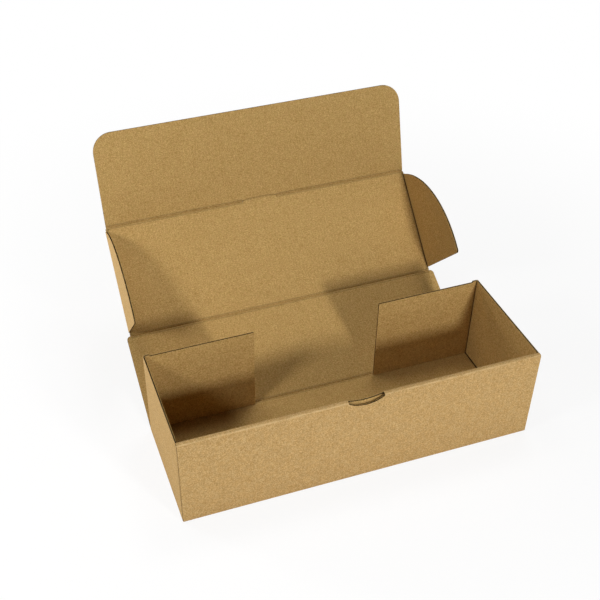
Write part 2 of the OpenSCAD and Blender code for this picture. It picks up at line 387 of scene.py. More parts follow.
# %% The paper's material
def kraft_paper(name, tone=1.0, ribs=1.0, medium_shade=1.0):
    """Kraft paper. Tone scales its brightness, medium_shade darkens the medium as painted shade, and ribs the
    flutes' bands.
    """
    material = bpy.data.materials.new(name)
    material.use_nodes = True
    tree = material.node_tree
    shader = tree.nodes["Principled BSDF"]
    board_map = add(tree, "ShaderNodeUVMap", uv_map="board").outputs["UV"]
    place = add(tree, "ShaderNodeTexCoord").outputs["Object"]
    fold, lining, shut, rubbed_highlight = (add(tree, "ShaderNodeAttribute", attribute_name=value).outputs["Fac"]
                                  for value in ("fold", "lining", "shut", "wear_and_highlight"))

    cloud = noise(tree, place, CLOUD_SIZE, detail=1.0)
    mottle = noise(tree, place, MOTTLE_SIZE, detail=1.0)
    grain = noise(tree, place, GRAIN_SIZE, detail=2.0, rough=0.7)
    warm = noise(tree, place, WARM_SIZE, detail=1.0)
    colour = mix_colour(tree, lining, KRAFT_OUTSIDE, KRAFT_INSIDE)
    colour = mix_colour(tree, stepped(tree, warm, 0.35, 0.65, 0.0, WARM_SHARE), colour, KRAFT_WARM)
    across = add(tree, "ShaderNodeSeparateXYZ", {"Vector": board_map}).outputs["X"]
    wave = calc(tree, "COSINE", calc(tree, "MULTIPLY", across, 2 * pi / PITCH))
    shade = total(tree, stepped(tree, mottle, 0.25, 0.75, -MOTTLE, MOTTLE),
                  stepped(tree, grain, 0.25, 0.75, -GRAIN, GRAIN),
                  stepped(tree, cloud, 0.3, 0.7, -CLOUD, CLOUD),
                  calc(tree, "MULTIPLY", wave, BAND * ribs))

    # Painted shade in the grooves of folds, deepest where a fold has shut.
    in_groove = stepped(tree, fold, *IN_GROOVE)
    shadow = calc(tree, "MULTIPLY", in_groove, calc(tree, "MULTIPLY_ADD", shut, SHUT_SHADE, GROOVE_SHADE))
    # The medium is darkened by medium_shade, painted shade of the open flutes, and the whole layer by tone.
    from_medium = calc(tree, "ABSOLUTE", calc(tree, "SUBTRACT", lining, 0.5))
    layer_tone = calc(tree, "MULTIPLY", stepped(tree, from_medium, 0.05, 0.2, tone * medium_shade, tone),
                      calc(tree, "SUBTRACT", 1.0, shadow))
    tones = [calc(tree, "MULTIPLY", calc(tree, "MULTIPLY_ADD", shade, depth, 1.0), layer_tone)
             for depth in PULP_DEPTH]
    grey = add(tree, "ShaderNodeCombineColor", dict(zip(("Red", "Green", "Blue"), tones))).outputs[0]
    colour = mix_colour(tree, 1.0, colour, grey, "MULTIPLY")

    dark = two_ways(tree, board_map, *DARK_FIBRES)
    pale = two_ways(tree, board_map, *PALE_FIBRES)
    # A patchy pale line along the roll's outer edge: paper pale from wear, with a painted highlight.
    rubbed_highlight = calc(tree, "MULTIPLY", rubbed_highlight, calc(tree, "GREATER_THAN", fold, 0.0))
    for mask, strength, paint in ((dark, 0.22, KRAFT_DARK), (pale, 0.20, KRAFT_PALE),
                                  (specks(tree, place, *BARK), 0.85, KRAFT_BARK),
                                  (specks(tree, place, *BLEACHED), 0.6, KRAFT_PALE),
                                  (rubbed_highlight, stepped(tree, cloud, 0.35, 0.6, 0.15, 0.75), KRAFT_PALE)):
        colour = mix_colour(tree, calc(tree, "MULTIPLY", mask, strength), colour, paint)
    tree.links.new(colour, shader.inputs["Base Color"])

    band_relief, grain_relief, fibre_relief = RELIEF
    height = total(tree, calc(tree, "MULTIPLY", wave, band_relief * ribs),
                   calc(tree, "MULTIPLY", grain, grain_relief),
                   calc(tree, "MULTIPLY", calc(tree, "ADD", dark, pale), fibre_relief))
    bump = add(tree, "ShaderNodeBump", {"Height": height, "Distance": MM, "Strength": 0.8})
    tree.links.new(bump.outputs["Normal"], shader.inputs["Normal"])
    tree.links.new(stepped(tree, mottle, 0.2, 0.8, *ROUGHNESS), shader.inputs["Roughness"])
    shader.inputs["Specular IOR Level"].default_value = SHINE
    return material


kraft_liner = kraft_paper("kraft_liner")
# Cut edges, with the medium's edge darkened as painted shade of the open flutes.
kraft_cut = kraft_paper("kraft_cut_edge", tone=1.2, ribs=0.0, medium_shade=0.28)
# The faces that look into the flutes: nearly black, painted shade of their hollows.
kraft_core_shade = kraft_paper("kraft_core_shade", tone=0.06, ribs=0.0)
print("materials:", [material.name for material in bpy.data.materials])

# %% [markdown]
# ## Raising the board
#
# The flutes repeat hundreds of times and follow every fold, so Geometry Nodes make them. The tree takes a
# blank and lifts it to two heights along the board's inside direction, with a wall round the outline, which
# gives one closed layer of paper. Three layers make the board: outer liner, inner liner and the medium, whose
# two heights ride on a cosine of the distance across the flutes. A moving fold is pressed solid: two layers
# that meet in the middle, with no flutes between them. A Solidify modifier would give one even layer only.

# %% One closed layer of paper
TOUCHING = 0.001 * MM     # points nearer than this are one point


def named(tree, name, data_type):
    """A value that the blank carries, as a socket."""
    return add(tree, "GeometryNodeInputNamedAttribute", {"Name": name}, data_type=data_type).outputs[0]


def stored(tree, mesh, name, value, data_type, domain):
    """The mesh with one more value on it."""
    return add(tree, "GeometryNodeStoreNamedAttribute", {"Geometry": mesh, "Name": name, "Value": value},
               data_type=data_type, domain=domain).outputs[0]


def layer(tree, blank, low, high, lining, hidden=()):
    """A closed layer between two heights above the middle of the board, in a tree.

    Lining is 0 for the outer liner, 1 for the inner one and 0.5 for the medium. Hidden names its sides that
    look into the flutes.
    """
    inside = named(tree, "inside", "FLOAT_VECTOR")

    def lifted(mesh, height):
        offset = add(tree, "ShaderNodeVectorMath", {0: inside, "Scale": height}, operation="SCALE").outputs[0]
        return add(tree, "GeometryNodeSetPosition", {"Geometry": mesh, "Offset": offset}).outputs[0]

    in_place = {"Mesh": blank, "Offset Scale": 0.0, "Individual": False}
    walls = add(tree, "GeometryNodeExtrudeMesh", in_place, mode="FACES")
    upper = stored(tree, walls.outputs["Mesh"], "cut", walls.outputs["Side"], "BOOLEAN", "FACE")
    if "top" in hidden:
        upper = stored(tree, upper, "core", walls.outputs["Top"], "BOOLEAN", "FACE")
    height = add(tree, "GeometryNodeSwitch", {"Switch": walls.outputs["Top"], "False": low, "True": high},
                 input_type="FLOAT")
    upper = lifted(upper, height.outputs[0])
    floor = lifted(add(tree, "GeometryNodeFlipFaces", {"Mesh": blank}).outputs[0], low)
    if "bottom" in hidden:
        floor = stored(tree, floor, "core", True, "BOOLEAN", "FACE")
    both = add(tree, "GeometryNodeJoinGeometry")
    tree.links.new(floor, both.inputs[0])
    tree.links.new(upper, both.inputs[0])
    closed = add(tree, "GeometryNodeMergeByDistance", {"Geometry": both.outputs[0], "Distance": TOUCHING})
    # Fold is below 0 on the inner liner where the board is crushed, where the paper paints shade in the
    # groove.
    fold = calc(tree, "MULTIPLY", named(tree, "crush", "FLOAT"), 1 - 2 * lining)
    marked = stored(tree, closed.outputs[0], "fold", fold, "FLOAT", "POINT")
    return stored(tree, marked, "lining", lining, "FLOAT", "POINT")


# %% The whole board
GLUED = 0.4               # of the medium's thickness: its middle comes this near a liner, so the two touch
SHARP_FROM = 38           # edges that turn by more degrees than this stay sharp


def stepped_height(tree, crush, full, low):
    """Height of a face: full on good board, low where the board is crushed."""
    return calc(tree, "ADD", full, calc(tree, "MULTIPLY", calc(tree, "SUBTRACT", low, full), crush))


def board_tree(name, pressed):
    """Tree that raises a blank to board, or to one solid strip where a fold is pressed."""
    tree = bpy.data.node_groups.new(name, "GeometryNodeTree")
    inputs = {"Blank": "Geometry", "Flutes": "Object", "Board": "Float", "Pressed in": "Float",
              "Pressed out": "Float", "Liner": "Float", "Medium": "Float", "Pitch": "Float",
              "Paper": "Material", "Cut edge": "Material", "Core": "Material"}
    for socket, kind in inputs.items():
        tree.interface.new_socket(socket, in_out="INPUT", socket_type=f"NodeSocket{kind}")
    tree.interface.new_socket("Board", in_out="OUTPUT", socket_type="NodeSocketGeometry")
    given = tree.nodes.new("NodeGroupInput").outputs
    crush = named(tree, "crush", "FLOAT")
    half = calc(tree, "MULTIPLY", given["Board"], 0.5)
    over = stepped_height(tree, crush, half, given["Pressed in"])
    under = calc(tree, "MULTIPLY", stepped_height(tree, crush, half, given["Pressed out"]), -1.0)
    between = calc(tree, "MULTIPLY", calc(tree, "ADD", over, under), 0.5)
    joined = add(tree, "GeometryNodeJoinGeometry")
    if pressed:
        layers = [layer(tree, given["Blank"], between, over, 1.0),
                  layer(tree, given["Blank"], under, between, 0.0)]
    else:
        room = calc(tree, "MULTIPLY", calc(tree, "SUBTRACT", over, under), 0.5)
        room = calc(tree, "SUBTRACT", room, given["Liner"])
        waves = calc(tree, "DIVIDE", named(tree, "across", "FLOAT"), given["Pitch"])
        turn = calc(tree, "MULTIPLY", waves, 2 * pi)
        reach = calc(tree, "SUBTRACT", room, calc(tree, "MULTIPLY", given["Medium"], GLUED))
        middle = calc(tree, "ADD", between, calc(tree, "MULTIPLY", calc(tree, "COSINE", turn), reach))
        thin = calc(tree, "MULTIPLY", given["Medium"], 0.5)
        flutes = add(tree, "GeometryNodeObjectInfo", {"Object": given["Flutes"]}).outputs["Geometry"]
        inner, outer = calc(tree, "SUBTRACT", over, given["Liner"]), calc(tree, "ADD", under, given["Liner"])
        low, high = calc(tree, "SUBTRACT", middle, thin), calc(tree, "ADD", middle, thin)
        layers = [layer(tree, given["Blank"], inner, over, 1.0, ["bottom"]),
                  layer(tree, given["Blank"], under, outer, 0.0, ["top"]),
                  layer(tree, flutes, low, high, 0.5, ["top", "bottom"])]
    for mesh in layers:
        tree.links.new(mesh, joined.inputs[0])
    smooth = add(tree, "GeometryNodeSetShadeSmooth", {"Geometry": joined.outputs[0], "Shade Smooth": True},
                 domain="FACE")
    angle = add(tree, "GeometryNodeInputMeshEdgeAngle").outputs["Unsigned Angle"]
    sharp = calc(tree, "GREATER_THAN", angle, radians(SHARP_FROM))
    sharp = add(tree, "GeometryNodeSetShadeSmooth",
                {"Geometry": smooth.outputs[0], "Selection": sharp, "Shade Smooth": False}, domain="EDGE")
    real = add(tree, "GeometryNodeRealizeInstances", {"Geometry": sharp.outputs[0]})
    mesh = add(tree, "GeometryNodeSetMaterial", {"Geometry": real.outputs[0], "Material": given["Paper"]})
    # Faces that look into the flutes take the Core material, which is painted shade.
    for value, material in (("cut", "Cut edge"), ("core", "Core")):
        chosen = {"Selection": named(tree, value, "BOOLEAN"), "Material": given[material]}
        mesh = add(tree, "GeometryNodeSetMaterial", {"Geometry": mesh.outputs[0], **chosen})
    tree.links.new(mesh.outputs[0], tree.nodes.new("NodeGroupOutput").inputs[0])
    return tree


raise_board = board_tree("raise_board", pressed=False)
press_fold = board_tree("press_fold", pressed=True)
print("trees:", [tree.name for tree in bpy.data.node_groups])


# %% From blanks to a plain mesh
def raised(name, tree, blank, flute_blank=None):
    """A finished object from a blank. The flutes have a blank of their own, with points along each wave."""
    scene = bpy.context.scene
    carrier = bpy.data.objects.new(f"{name}_blank", blank)
    scene.collection.objects.link(carrier)
    flutes = None
    if flute_blank is not None:
        flutes = bpy.data.objects.new(f"{name}_flutes", flute_blank)
        scene.collection.objects.link(flutes)
    given = {"Flutes": flutes, "Board": BOARD, "Pressed in": PRESSED_IN, "Pressed out": PRESSED_OUT,
             "Liner": LINER, "Medium": MEDIUM, "Pitch": PITCH, "Paper": kraft_liner, "Cut edge": kraft_cut,
             "Core": kraft_core_shade}
    modifier = carrier.modifiers.new(tree.name, "NODES")
    modifier.node_group = tree
    for socket in tree.interface.items_tree:
        if socket.in_out == "INPUT" and given.get(socket.name) is not None:
            modifier[socket.identifier] = given[socket.name]
    graph = bpy.context.evaluated_depsgraph_get()
    mesh = bpy.data.meshes.new_from_object(carrier.evaluated_get(graph), depsgraph=graph)
    for helper in filter(None, (carrier, flutes)):
        bpy.data.objects.remove(helper)
    mesh.name = name
    made = bpy.data.objects.new(name, mesh)
    scene.collection.objects.link(made)
    mesh.calc_loop_triangles()
    print(f"{name}: {len(mesh.loop_triangles)} triangles")
    return made


print("blanks can be raised")

# %% [markdown]
# ## Folds
#
# A fold is worked out in the plane that it turns in. The middle line of the sheet is a chain of straight
# stretches with an arc in each corner, and every point of it knows its distance from the start and where the
# inside face looks. A fold always turns towards the inside face. Bending a finished panel with a modifier
# would stretch its paper. A chain keeps every length of the flat sheet.

# %% The middle line of a folded sheet
FOLD_STEPS = 5            # stretches that make one fold's arc
Line = namedtuple("Line", "length place inside")


def folded(corners, radius, turn):
    """Line through some corners in a plane, rounded in each. Turn is 1 for folds to the left, or else -1."""
    corners = np.asarray(corners, float)
    way = np.diff(corners, axis=0)
    way /= np.linalg.norm(way, axis=1)[:, None]
    inside = turn * np.stack([-way[:, 1], way[:, 0]], 1)
    place, look = [corners[0]], [inside[0]]
    for corner, before, after, first in zip(corners[1:-1], way[:-1], way[1:], inside[:-1]):
        angle = np.arccos(np.clip(before @ after, -1, 1))
        start = corner - before * radius * np.tan(angle / 2)
        centre = start + first * radius
        for share in np.linspace(0, 1, FOLD_STEPS + 1):
            spin = turn * angle * share
            out = np.array([[cos(spin), -sin(spin)], [sin(spin), cos(spin)]]) @ first
            place.append(centre - out * radius)
            look.append(out)
    place.append(corners[-1])
    look.append(inside[-1])
    place, look = np.array(place), np.array(look)
    length = np.concatenate([[0], np.cumsum(np.linalg.norm(np.diff(place, axis=0), axis=1))])
    fresh = np.concatenate([[True], np.diff(length) > TOUCHING])
    return Line(length[fresh], place[fresh], look[fresh])


def on_line(line, length):
    """Places and inside directions at some distances along a line."""
    place = np.stack([np.interp(length, line.length, line.place[:, i]) for i in (0, 1)], -1)
    look = np.stack([np.interp(length, line.length, line.inside[:, i]) for i in (0, 1)], -1)
    return place, look / np.linalg.norm(look, axis=-1, keepdims=True)


def in_space(flat, first, second):
    """Points of a plane as points in space."""
    return flat[..., :1] * np.array(first) + flat[..., 1:] * np.array(second)


print("a fold's arc has", FOLD_STEPS, "stretches")

# %% Board from a blank, and a pressed fold between two panels
GROOVE = 0.5 * MM         # width of the bottom of a fold's groove
GROOVE_WALL = 0.4 * MM    # width of each of its walls
STRIP_STATIONS = 13       # points along a moving fold
STRIP_ROWS = 15           # and round it
ROUNDED = 0.98            # share of the strip that its arc takes
# The shut value sets how deep the painted shade in a moving fold's groove is.
SHUT_POWER = 8            # a high power, because a groove shuts only as its fold nears a right angle


def board(name, blank, across):
    """Piece of fluted board. Blank is a function that makes the blank for any stations."""
    waves = blank(f"{name}_flutes", flute_stations(across))
    return raised(name, raise_board, blank(f"{name}_blank", across), waves)


def crease(name, axis, parent, angle, across, low, high, bodies):
    """Pressed strip round a moving fold. Parent is (along, inside) of the panel that carries the fold."""
    a = radians(angle)
    corners = [(-HINGE, 0), (0, 0), (HINGE * cos(a), HINGE * sin(a))]
    line = folded(corners, ROUNDED * HINGE / np.tan(a / 2), 1)
    return strip(name, line, axis, *parent, across, low, high, bodies, (angle / 90) ** SHUT_POWER)


def strip(name, line, origin, first, second, across, low, high, bodies, shut=1.0):
    """Pressed strip along a line, with its groove in the middle. Bodies is not used."""
    stops = stations(low, high, np.linspace(low, high, STRIP_STATIONS))
    whole = line.length[-1]
    rows = rows_at(stops, *np.linspace(0, whole, STRIP_ROWS))
    place, look = on_line(line, rows)
    points = np.array(origin) + in_space(place, first, second) + stops[:, None, None] * np.array(across)
    inside = in_space(look, first, second)
    groove_stops = [GROOVE / 2, GROOVE / 2 + GROOVE_WALL, whole / 2]
    crush = np.interp(np.abs(rows - whole / 2), groove_stops, [1, 2 * SHOULDER, SHOULDER])
    made = raised(name, press_fold, blank_mesh(name, stops, rows, crush, points, inside, shut=shut))
    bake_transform(made)
    return made


print("board() and crease() are ready")

# %% [markdown]
# ## Rear wall
#
# The rear wall leans back from the base. Its two upper corners are rounded and stand past the lid's fold
# line, where the sheet was relieved beside the lid. A boolean could cut them, but a grid with a step in its
# outline does it with no stray faces. The wall rides its own body, and the strip below it stays where it is
# made.

# %% Rounded corners
ARC_STEPS = 14            # points along a rounded corner


def arc_stops(centre, radius, start=90, end=0, steps=ARC_STEPS):
    """Stations that follow an arc closely, from a start to an end in degrees."""
    return centre + radius * np.cos(np.radians(np.linspace(start, end, steps)))


def rounding(across, start, radius):
    """Height of a rounded corner over its own centre at some stations. The corner begins at start."""
    past = np.clip(across - start, 0, radius)
    return np.sqrt(radius ** 2 - past ** 2)


print("a rounded corner has", ARC_STEPS, "points")

# %% The rear wall
RELIEF_R = 3.6 * MM       # rounded upper corner of the rear wall


def rear_wall_blank(name, across):
    """Blank of the rear wall, from its fold at the base to the lid's fold and the two upper corners."""
    corner = rear_len - RELIEF_R + rounding(np.abs(across), ear_x, RELIEF_R)
    end = np.where(np.abs(across) > ear_x, corner, rear_len - HINGE)
    rows = rows_at(across, HINGE, HINGE + RAMP, end - RAMP, end)
    top = np.where(np.abs(across) > ear_x, RAMP, 0)[:, None]
    crush = eased(rows - HINGE, np.maximum(rear_len - HINGE - rows, 0) + top)
    return flat_blank(name, rear_panel, across, rows, crush)


STEP = 0.005 * MM         # half the width of a step in an outline
corner_stops = arc_stops(ear_x, RELIEF_R)
rear_wall_across = stations(-raw_x, raw_x, ear_x - STEP, ear_x + STEP, corner_stops,
                            -ear_x + STEP, -ear_x - STEP, -corner_stops)
rear_wall = board("rear_wall_board", rear_wall_blank, rear_wall_across)
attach(rear_wall, "rear_wall")
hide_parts("rear_wall")
crease("rear_fold", rear_fold, (Y, Z), rear_angle, X, -raw_x, raw_x, ("tray", "rear_wall"))

# %% [markdown]
# ## Lid
#
# The lid is a little narrower than the box, so that it drops inside the end walls. In the middle of its front
# fold a shallow finger tab stays flat with the lid while the tuck flap turns away from it. Both come from one
# cut in the sheet, so one function gives the tab's edge and the slit in the flap.

# %% The lid
TAB_HALF = 16.5 * MM      # half the finger tab's width
TAB_OUT = 2.4 * MM        # the tab's reach past the fold, in the middle
TAB_SIDE = 1.1 * MM       # its reach at both sides
SLIT = 0.3 * MM           # width of the cut round the tab
EAR_START = 3.8 * MM      # from the lid's fold to the ear
EAR_END = 100 * MM        # from the lid's fold to the ear's far end
TAB_STEPS = 15            # points along the tab's edge
rise = TAB_OUT - TAB_SIDE
tab_r = (TAB_HALF ** 2 + rise ** 2) / (2 * rise)


def tab_edge(across, grown=0.0):
    """How far the tab reaches past the fold at some stations."""
    return TAB_OUT - tab_r + np.sqrt((tab_r + grown) ** 2 - np.minimum(across ** 2, tab_r ** 2))


def every_face(across, rows):
    """A mark for each face of a grid, which says that the face stays."""
    return np.ones((len(across) - 1, rows.shape[1] - 1), bool)


def lid_blank(name, across):
    """Blank of the lid, from the rear wall's fold to the tuck flap's, and in the middle to the tab's edge."""
    side = ear_x - np.abs(across)
    on_tab = np.abs(across) < TAB_HALF
    front = lid_len - HINGE
    end = np.where(on_tab, lid_len + tab_edge(across), front)
    rows = rows_at(across, HINGE, HINGE + RAMP, EAR_START, EAR_END, front - RAMP, front, end)
    tab_clear = np.where(on_tab, RAMP, 0)[:, None]
    crush = eased(rows - HINGE, front - rows + tab_clear, (side - HINGE)[:, None])
    keep = every_face(across, rows)
    beside_ear = side < HINGE - STEP
    keep[beside_ear[:-1] | beside_ear[1:], 2] = False
    keep[~(on_tab[:-1] & on_tab[1:]), -1] = False
    return flat_blank(name, lid_panel, across, rows, crush, keep)


side_stops = np.array([0, HINGE, HINGE + RAMP])
tab_stops = np.linspace(-TAB_HALF + STEP, TAB_HALF - STEP, TAB_STEPS)
lid_across = stations(-ear_x, ear_x, ear_x - side_stops, side_stops - ear_x, tab_stops,
                      -TAB_HALF - STEP, TAB_HALF + STEP)
lid = board("lid_board", lid_blank, lid_across)
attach(lid, "lid")
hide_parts("lid")
crease("lid_fold_strip", lid_fold, (rear_panel.along, rear_panel.inside), lid_angle - rear_angle,
       X, -ear_x, ear_x, ("rear_wall", "lid"))

# %% [markdown]
# ## Tuck flap
#
# The tuck flap goes down inside the front wall and holds the lid shut. Its corners are rounded so that they
# find their way in. A bevel of two corner points would be quicker, but the flutes have to end in the edge.
# So each station ends on the corner's circle, and the arc's own stations keep it round.

# %% The tuck flap
tuck_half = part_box("tuck_flap")[1].x
TUCK_R = 18 * MM          # its two rounded corners
TUCK_LEN = 87.8 * MM      # from the fold to its free edge
SIDES = ((-1, "left"), (1, "right"))


def tuck_blank(name, across):
    """Blank of the tuck flap, which begins past the slit where the finger tab was cut from it."""
    end = TUCK_LEN - TUCK_R + rounding(np.abs(across), tuck_half - TUCK_R, TUCK_R)
    near_tab = np.abs(across) < TAB_HALF + SLIT
    start = np.where(near_tab, np.maximum(HINGE, tab_edge(across, SLIT)), HINGE)
    rows = rows_at(across, start, start + RAMP, end)
    crush = eased(rows - start[:, None] + np.where(near_tab, RAMP, 0)[:, None])
    return flat_blank(name, tuck_panel, across, rows, crush)


slit_x = TAB_HALF + SLIT
corner_stops = arc_stops(tuck_half - TUCK_R, TUCK_R)
tuck_across = stations(-tuck_half, tuck_half, corner_stops, -corner_stops,
                       np.linspace(-slit_x + STEP, slit_x - STEP, TAB_STEPS), -slit_x - STEP, slit_x + STEP)
tuck = board("tuck_flap_board", tuck_blank, tuck_across)
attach(tuck, "tuck_flap")
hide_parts("tuck_flap")
for side, word in SIDES:
    crease(f"{word}_tuck_fold", tuck_fold, (lid_panel.along, lid_panel.inside), tuck_angle - lid_angle,
           side * X, slit_x, tuck_half, ("lid", "tuck_flap"))

# %% [markdown]
# ## Ears
#
# The ears are quarter rounds on the lid's sides, which go down inside the end walls. Their flutes run beside
# the fold, so the curved edge cuts through them and shows the waves, and the straight edge far from the fold
# shows one long wall of liner and medium. A mirrored copy would turn its faces inside out, so one function
# makes both ears, and the panel that it is given holds the side.

# %% The ears
EAR_DEPTH = 71 * MM       # from the ear's fold to its free edge
EAR_R = 92.54 * MM        # its long curve
EAR_CORNER_R = 3 * MM     # its small corner
EAR_TIP = 10 * MM         # where the long curve meets the free edge
CURVE_STEPS = 34          # points along the long curve
CURVE_END = 75.7          # degrees that it turns through


def ear_blank(panel):
    """Function that makes the blank of an ear on its panel."""
    def blank(name, across):
        start = EAR_START + EAR_CORNER_R - rounding(across, EAR_DEPTH - EAR_CORNER_R, EAR_CORNER_R)
        end = EAR_TIP + np.sqrt(EAR_R ** 2 - (across - EAR_DEPTH + EAR_R) ** 2)
        rows = rows_at(across, start, 0.5 * (start + end), end)
        crush = np.broadcast_to(eased(across - HINGE)[:, None], rows.shape)
        return flat_blank(name, panel, across, rows, crush)
    return blank


long_curve = arc_stops(EAR_DEPTH - EAR_R, EAR_R, 0, CURVE_END, CURVE_STEPS)
long_curve = long_curve[long_curve > HINGE]
ear_across = stations(HINGE, EAR_DEPTH, HINGE + RAMP, long_curve,
                      arc_stops(EAR_DEPTH - EAR_CORNER_R, EAR_CORNER_R))
for side, word in SIDES:
    panel = ear_panel(side)
    ear = board(f"{word}_ear_board", ear_blank(panel), ear_across)
    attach(ear, f"{word}_ear")
    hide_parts(f"{word}_ear")
    crease(f"{word}_ear_fold_strip", panel.origin, (side * X, lid_panel.inside), ear_angle,
           lid_panel.along, EAR_START, EAR_END, ("lid", f"{word}_ear"))

# %% [markdown]
# ## Rear dust flaps
#
# They hang on the end walls and lie across the box's rear, where they keep the rear wall square. For a few
# millimetres from the corner they are as high as the end wall, and then their top edge steps down. Their
# flutes lie level, so the free edge shows the waves and the top edge one long groove. The step is made by
# leaving faces out of the grid, which is exact, where a cut with a boolean would leave stray edges.

# %% The rear dust flaps
DUST_TOP = 86.7 * MM      # height of the top edge past the step
DUST_FOOT = 1.9 * MM      # height of the lower edge, just above the base
DUST_STEP = 5.5 * MM      # from the corner to the step in the top edge
CORNER = 1.9 * MM         # from the end wall's outer face to the flap's own board
dust_end = half_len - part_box("right_rear_dust_flap")[0].x
dust_axis = 51.9 * MM     # where the end wall's own board ends, on its way to the rear


def dust_blank(panel):
    """Function that makes the blank of a rear dust flap on its panel."""
    def blank(name, across):
        rows = rows_at(across, CORNER, CORNER + RAMP, DUST_STEP, dust_end)
        crush = eased(rows - CORNER)
        keep = every_face(across, rows)
        keep[across[1:] > DUST_TOP + 0.5 * STEP, 2:] = False
        return flat_blank(name, panel, across, rows, crush, keep)
    return blank


for side, word in SIDES:
    panel = dust_panel(side)
    body = f"{word}_rear_dust_flap"
    flap = board(f"{body}_board", dust_blank(panel), stations(DUST_FOOT, end_top, DUST_TOP))
    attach(flap, body)
    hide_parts(body)
    wall_x = half_len - HALF
    corners = [(side * wall_x, dust_axis), (side * wall_x, panel.origin.y),
               (side * (half_len - CORNER), panel.origin.y)]
    strip(f"{word}_dust_fold_strip", folded(corners, FOLD_R, side), Vector((0, 0, 0)), X, Y, Z,
          DUST_FOOT, end_top, ("tray", body))

# %% [markdown]
# ## Tray
#
# The tray is what stays put: the base with both end walls, the front wall that rolls over and comes down
# inside, and the two front dust flaps held between its layers. They are one sheet in three runs, because a
# grid can follow a chain of folds one way only. The front wall has the thumb notch in its rolled edge, and
# its inner layer ends in two tabs that stand in the base's slots.

# %% The tray's own places
BAND_FRONT = front_y + HALF          # middle of the outer front layer
BAND_BACK = -51.5 * MM               # middle of the inner front layer
BASE_MID = HALF
BASE_REAR = rear_fold.y - HINGE
END_MID = half_len - HALF
DUST_MID = -53.1 * MM                # middle of the front dust flaps, between the layers
LOCK_X = 78 * MM                     # from the middle of the box to a locking tab
LOCK_HALF = 18 * MM                  # half a tab's width
LOCK_GAP = 0.35 * MM                 # room for it at each side of its slot
SLOT = (-52.65 * MM, -50.35 * MM)    # front and rear edge of both slots
BEHIND_ROLL = -50.6 * MM             # front edge of the end walls where the roll passes before them
PAST_SLOT = 1.6 * RAMP + 2 * MM      # from the base's front edge to the first row behind the slots
FRONT_STEPS = 2                      # rows that the front edge's groove takes up
print("middle lines of the front layers in mm:", round(BAND_FRONT / MM, 2), round(BAND_BACK / MM, 2))

# %% Base and end walls
u_corners = [(-END_MID, end_top), (-END_MID, BASE_MID), (END_MID, BASE_MID), (END_MID, end_top)]
u_line = folded(u_corners, FOLD_R, 1)
u_middle = u_line.length[-1] / 2
u_line = Line(u_line.length - u_middle, u_line.place, u_line.inside)
flat_half = END_MID - FOLD_R
arc_end = flat_half + FOLD_R * pi / 2
band_under = arc_end + (wall_top - BOARD) - (BASE_MID + FOLD_R)   # at the roll's underside


def base_blank(name, across):
    """Blank of the base and both end walls. Its rows run from the front to the rear."""
    reach = np.abs(across)
    on_wall = reach > arc_end + STEP
    wall_rear = np.interp(reach, [arc_end, arc_end + CORNER], [BASE_REAR, dust_axis])
    rear = np.where(on_wall, wall_rear, BASE_REAR)
    front = np.where(on_wall, DUST_MID + FOLD_R, BAND_FRONT + FOLD_R)
    front = np.where(reach > band_under, BEHIND_ROLL, front)
    groove_rows = [front + stop for stop in RAMP_STOPS[1:1 + FRONT_STEPS]]
    rows = rows_at(across, front, *groove_rows, *SLOT, front + PAST_SLOT, rear - RAMP, rear)
    rows = np.maximum.accumulate(rows, 1)
    beside_arc = np.maximum(reach - arc_end, 0) + np.maximum(flat_half - reach, 0)
    crush = np.maximum(grooved(rows - front[:, None], beside_arc[:, None]), eased(rows - rear[:, None]))
    keep = every_face(across, rows)
    middle = 0.5 * (across[1:] + across[:-1])
    keep[np.abs(np.abs(middle) - LOCK_X) < LOCK_HALF + LOCK_GAP, 1 + FRONT_STEPS] = False
    place, look = on_line(u_line, across)
    points = in_space(place, X, Z)[:, None, :] + rows[:, :, None] * np.array(Y)
    inside = np.broadcast_to(in_space(look, X, Z)[:, None, :], points.shape)
    return blank_mesh(name, across, rows, crush, points, inside, keep)


slot_ends = np.array([-1, 1]) * (LOCK_HALF + LOCK_GAP)
lock_stops = np.concatenate([side * LOCK_X + slot_ends for side in (-1, 1)])
half_stops = np.array([*(flat_half - RAMP_STOPS), *(arc_end + RAMP_STOPS), arc_end + CORNER,
                       arc_end + 2 * STEP, band_under - STEP, band_under + STEP])
base_across = stations(u_line.length[0], u_line.length[-1], u_line.length, half_stops, -half_stops,
                       lock_stops)
base = board("base_and_end_walls", base_blank, base_across)

# %% The front wall's line, rolled over
TAB_FOOT = 0.35 * MM                 # height of the locking tabs' lower end
TAB_REACH = 1.25 * MM                # from the inner layer's lower edge to the tabs' end
top_z = wall_top - HALF
front_corners = [(BAND_FRONT + FOLD_R, BASE_MID), (BAND_FRONT, BASE_MID), (BAND_FRONT, top_z),
                 (BAND_BACK, top_z), (BAND_BACK, TAB_FOOT)]
front_line = folded(front_corners, FOLD_R, -1)
quarter = FOLD_R * pi / 2
outer_foot = quarter
outer_top = outer_foot + top_z - BASE_MID - 2 * FOLD_R
band_start = outer_top + quarter
band_end = band_start + (BAND_BACK - BAND_FRONT) - 2 * FOLD_R
inner_top = band_end + quarter
tab_end = front_line.length[-1]
inner_end = tab_end - TAB_REACH
print(f"the front layers take {tab_end / MM:.1f} mm of sheet")

# %% The front wall's blank
INNER_X = 153.1 * MM      # half the inner layer's width, which fits between the end walls
NOTCH_HALF = 15.5 * MM    # half the thumb notch's width
NOTCH_OUTER = 4.9 * MM    # its depth below the roll's outer arc
NOTCH_INNER = 2.2 * MM    # and below its inner arc
NOTCH_STEPS = 25          # points along each of its curves
# The pale line on the roll's outer edge is wear with a painted highlight.
EDGE_WEAR_HIGHLIGHT = 0.24 * MM     # reach of the pale line that handling leaves on the outer edge of the roll


def notch(across, depth):
    """How deep the notch is at some stations: a shallow arc."""
    radius = (NOTCH_HALF ** 2 + depth ** 2) / (2 * depth)
    away = np.minimum(np.abs(across), NOTCH_HALF)
    return np.sqrt(radius ** 2 - away ** 2) - (radius - depth)


